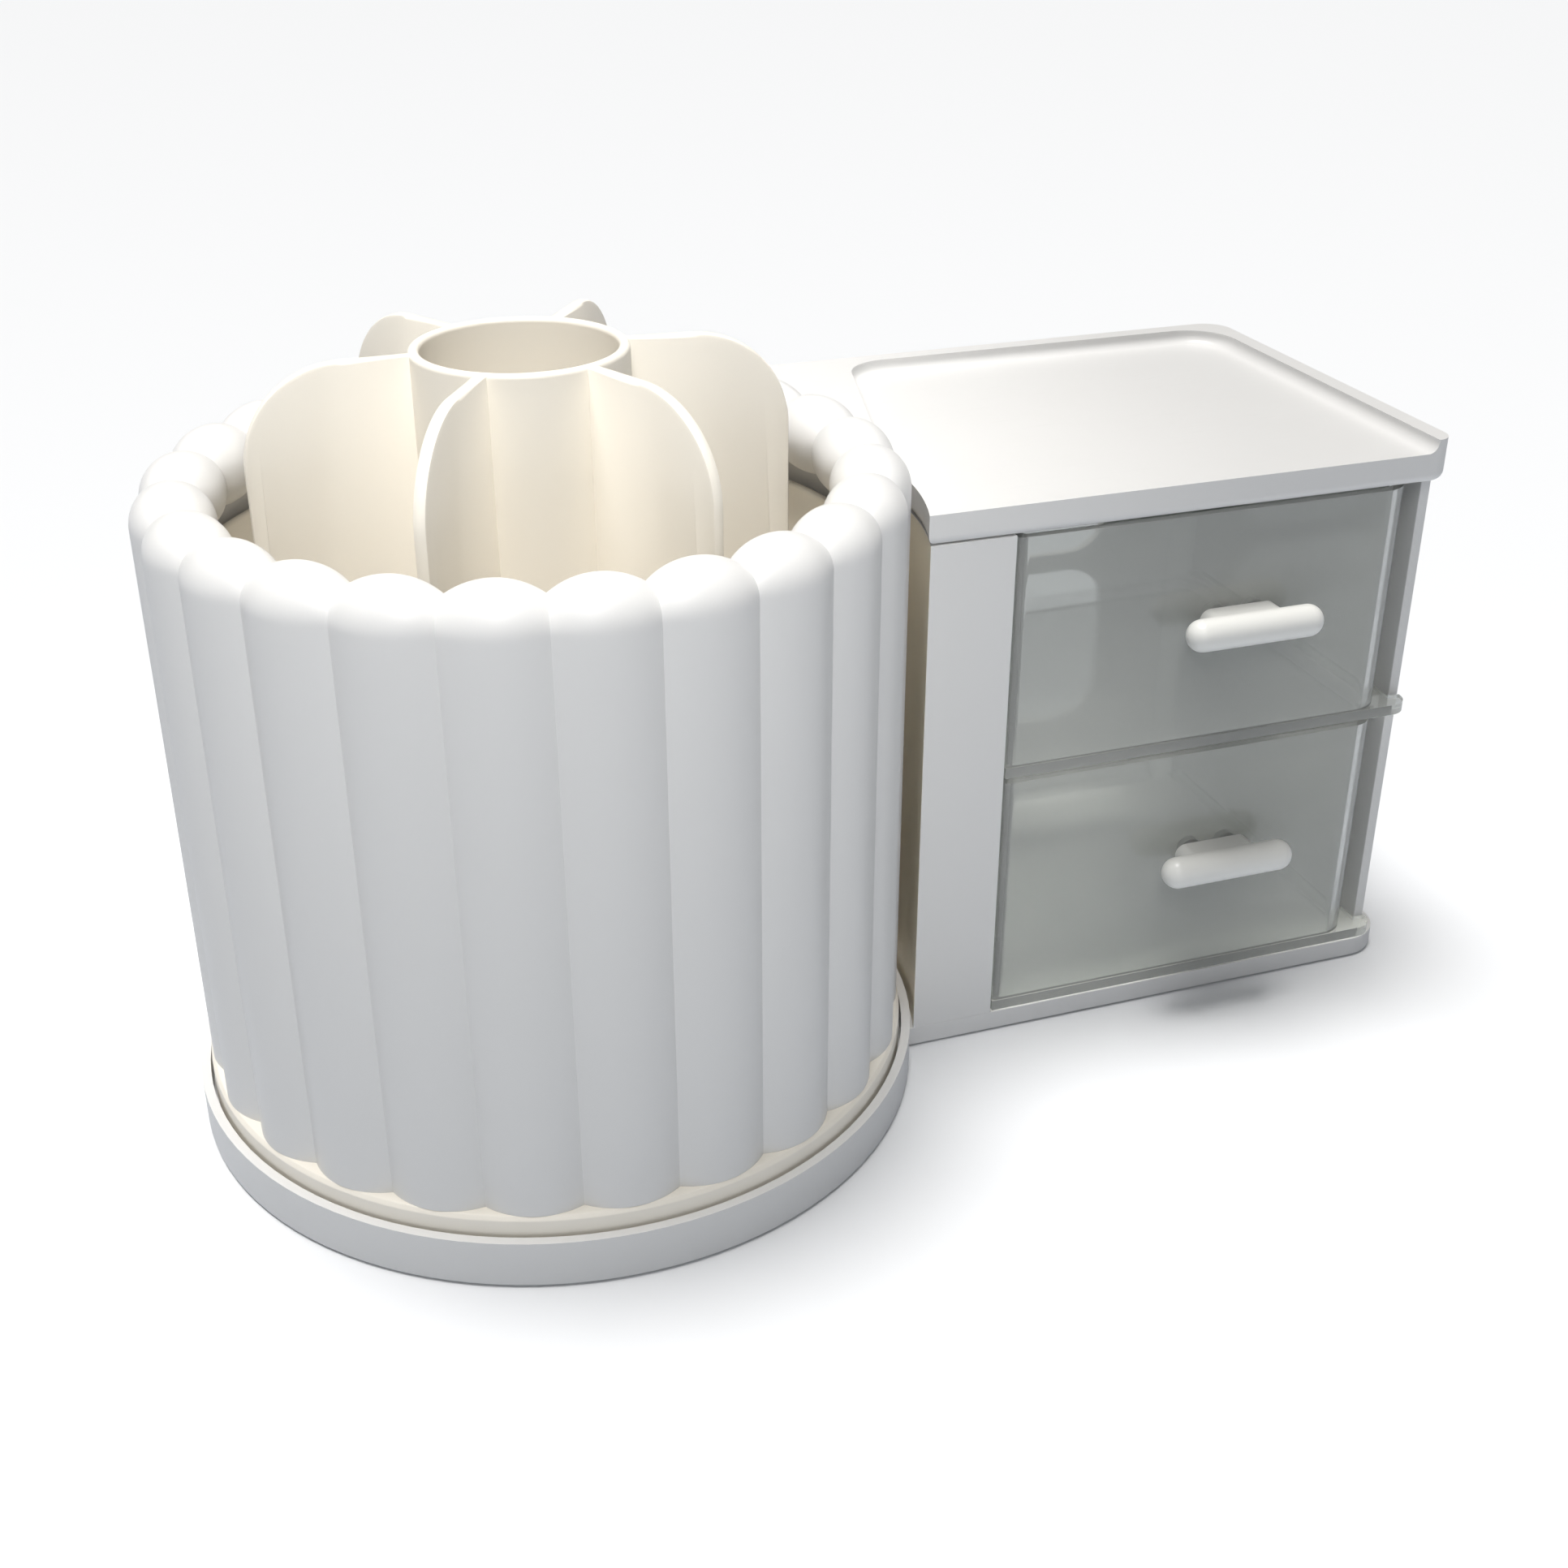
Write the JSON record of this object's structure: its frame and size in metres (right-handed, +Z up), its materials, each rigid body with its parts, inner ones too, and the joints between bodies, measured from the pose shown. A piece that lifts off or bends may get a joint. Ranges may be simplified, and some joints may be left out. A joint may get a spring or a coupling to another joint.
{
  "type": "desk organizer",
  "caption": "White desk organizer: fluted round pen barrel with a cream petal divider turns on a round foot, beside a cabinet with smoke-grey see-through drawers under a rimmed tray top",
  "frame": {"origin": "on the supporting surface, under the middle of the whole organizer's outline", "axes": "+Z up, -Y is the front that the drawers open towards, +X from the barrel to the cabinet"},
  "size_m": [0.2268, 0.1274, 0.1322],
  "materials": {
    "white_plastic": "smooth satin white moulded plastic",
    "cream_plastic": "smooth satin cream moulded plastic",
    "smoke_plastic": "clear smoke-grey moulded styrene",
    "handle_plastic": "smooth white moulded plastic",
    "screw_steel": "zinc plated",
    "bearing_steel": "polished",
    "cage_plastic": "dark grey moulded plastic",
    "foot_rubber": "soft translucent grey"
  },
  "bodies": {
    "stand": {"base_plate": "white_plastic", "rubber_feet": "foot_rubber", "base_screws": "screw_steel", "left_wall": "white_plastic", "back_panel": "white_plastic", "right_wall": "white_plastic", "left_rail": "white_plastic", "right_rail": "white_plastic", "top_tray": "white_plastic", "ball_cage": "cage_plastic", "bearing_balls": "bearing_steel", "pivot_washer": "screw_steel", "pivot_screw": "screw_steel"},
    "barrel": {"turntable_plate": "cream_plastic", "fluted_barrel": "white_plastic", "inner_liner": "cream_plastic", "divider_insert": "cream_plastic", "pivot_cap": "cream_plastic", "barrel_screws": "screw_steel"},
    "lower_drawer_body": {"lower_drawer": "smoke_plastic", "lower_handle": "handle_plastic", "lower_handle_screws": "screw_steel"},
    "upper_drawer_body": {"upper_drawer": "smoke_plastic", "upper_handle": "handle_plastic", "upper_handle_screws": "screw_steel"}
  },
  "joints": [
    {"name": "barrel_turn", "type": "hinge", "parent": "stand", "child": "barrel", "pos_m": [-0.04975, 0, 0.012], "axis": [0, 0, 1], "continuous": true},
    {"name": "lower_drawer_slide", "type": "slide", "parent": "stand", "child": "lower_drawer_body", "axis": [0, -1, 0], "range_m": [0, 0.054]},
    {"name": "upper_drawer_slide", "type": "slide", "parent": "stand", "child": "upper_drawer_body", "axis": [0, -1, 0], "range_m": [0, 0.054]}
  ]
}
